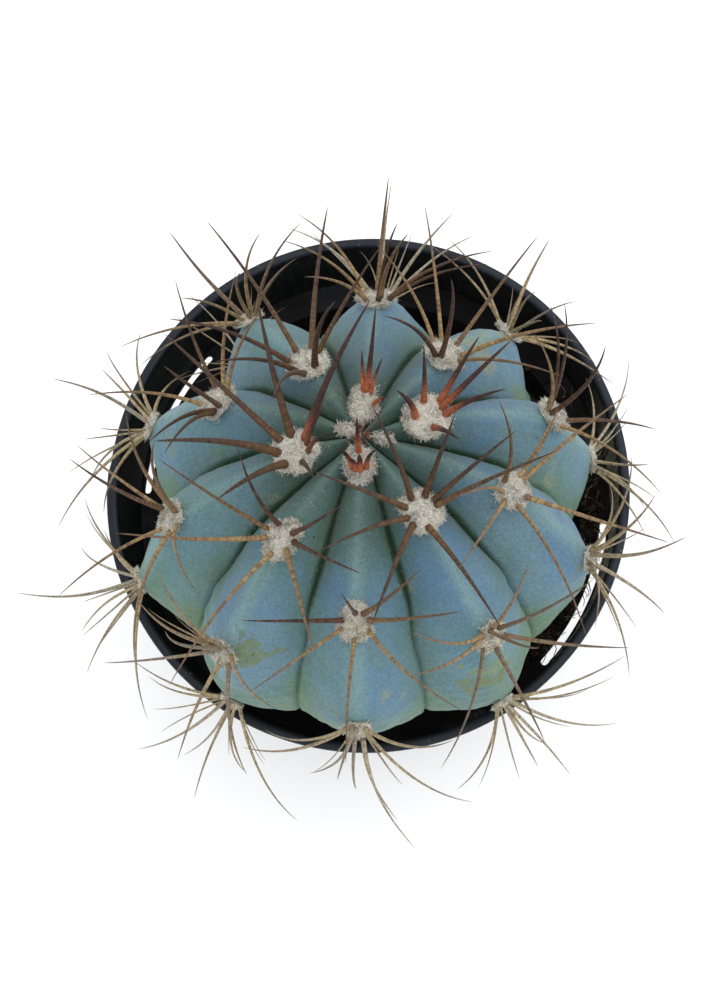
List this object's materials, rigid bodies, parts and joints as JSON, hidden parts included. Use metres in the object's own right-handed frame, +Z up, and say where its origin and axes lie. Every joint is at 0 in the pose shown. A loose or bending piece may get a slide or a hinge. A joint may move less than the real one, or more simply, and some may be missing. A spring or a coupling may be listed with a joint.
{
  "type": "potted turks cap cactus",
  "caption": "Young blue-green ribbed globular cactus with woolly areoles and long curved brown spines in a round black nursery pot",
  "frame": {"origin": "centre of the underside of the pot, where it rests", "axes": "+Z up, -Y towards the side of the pot the plant stands nearer to, +X to the right seen from that side"},
  "size_m": [0.1277, 0.1364, 0.1616],
  "materials": {
    "wool": "matte felted wool of the areoles, with the spines that stand in it",
    "pot_plastic": "thin black thermoformed plastic, soft sheen",
    "potting_mix": "dark brown loose granular potting mix",
    "skin": "waxy blue-green living skin, matte bloom"
  },
  "bodies": {
    "root": {"areole_00_a": "wool", "areole_00_b": "wool", "areole_01_a": "wool", "areole_01_b": "wool", "areole_02_a": "wool", "areole_02_b": "wool", "areole_03_a": "wool", "areole_03_b": "wool", "areole_04_a": "wool", "areole_04_b": "wool", "areole_05_a": "wool", "areole_05_b": "wool", "areole_06_a": "wool", "areole_06_b": "wool", "areole_07_a": "wool", "areole_07_b": "wool", "areole_08_a": "wool", "areole_08_b": "wool", "areole_09_a": "wool", "areole_09_b": "wool", "areole_10_a": "wool", "areole_10_b": "wool", "areole_11_a": "wool", "areole_11_b": "wool", "areole_12_a": "wool", "areole_12_b": "wool", "areole_13_b": "wool", "crown_wool": "wool", "pot": "pot_plastic", "potting_mix": "potting_mix", "stem": "skin"}
  },
  "joints": []
}
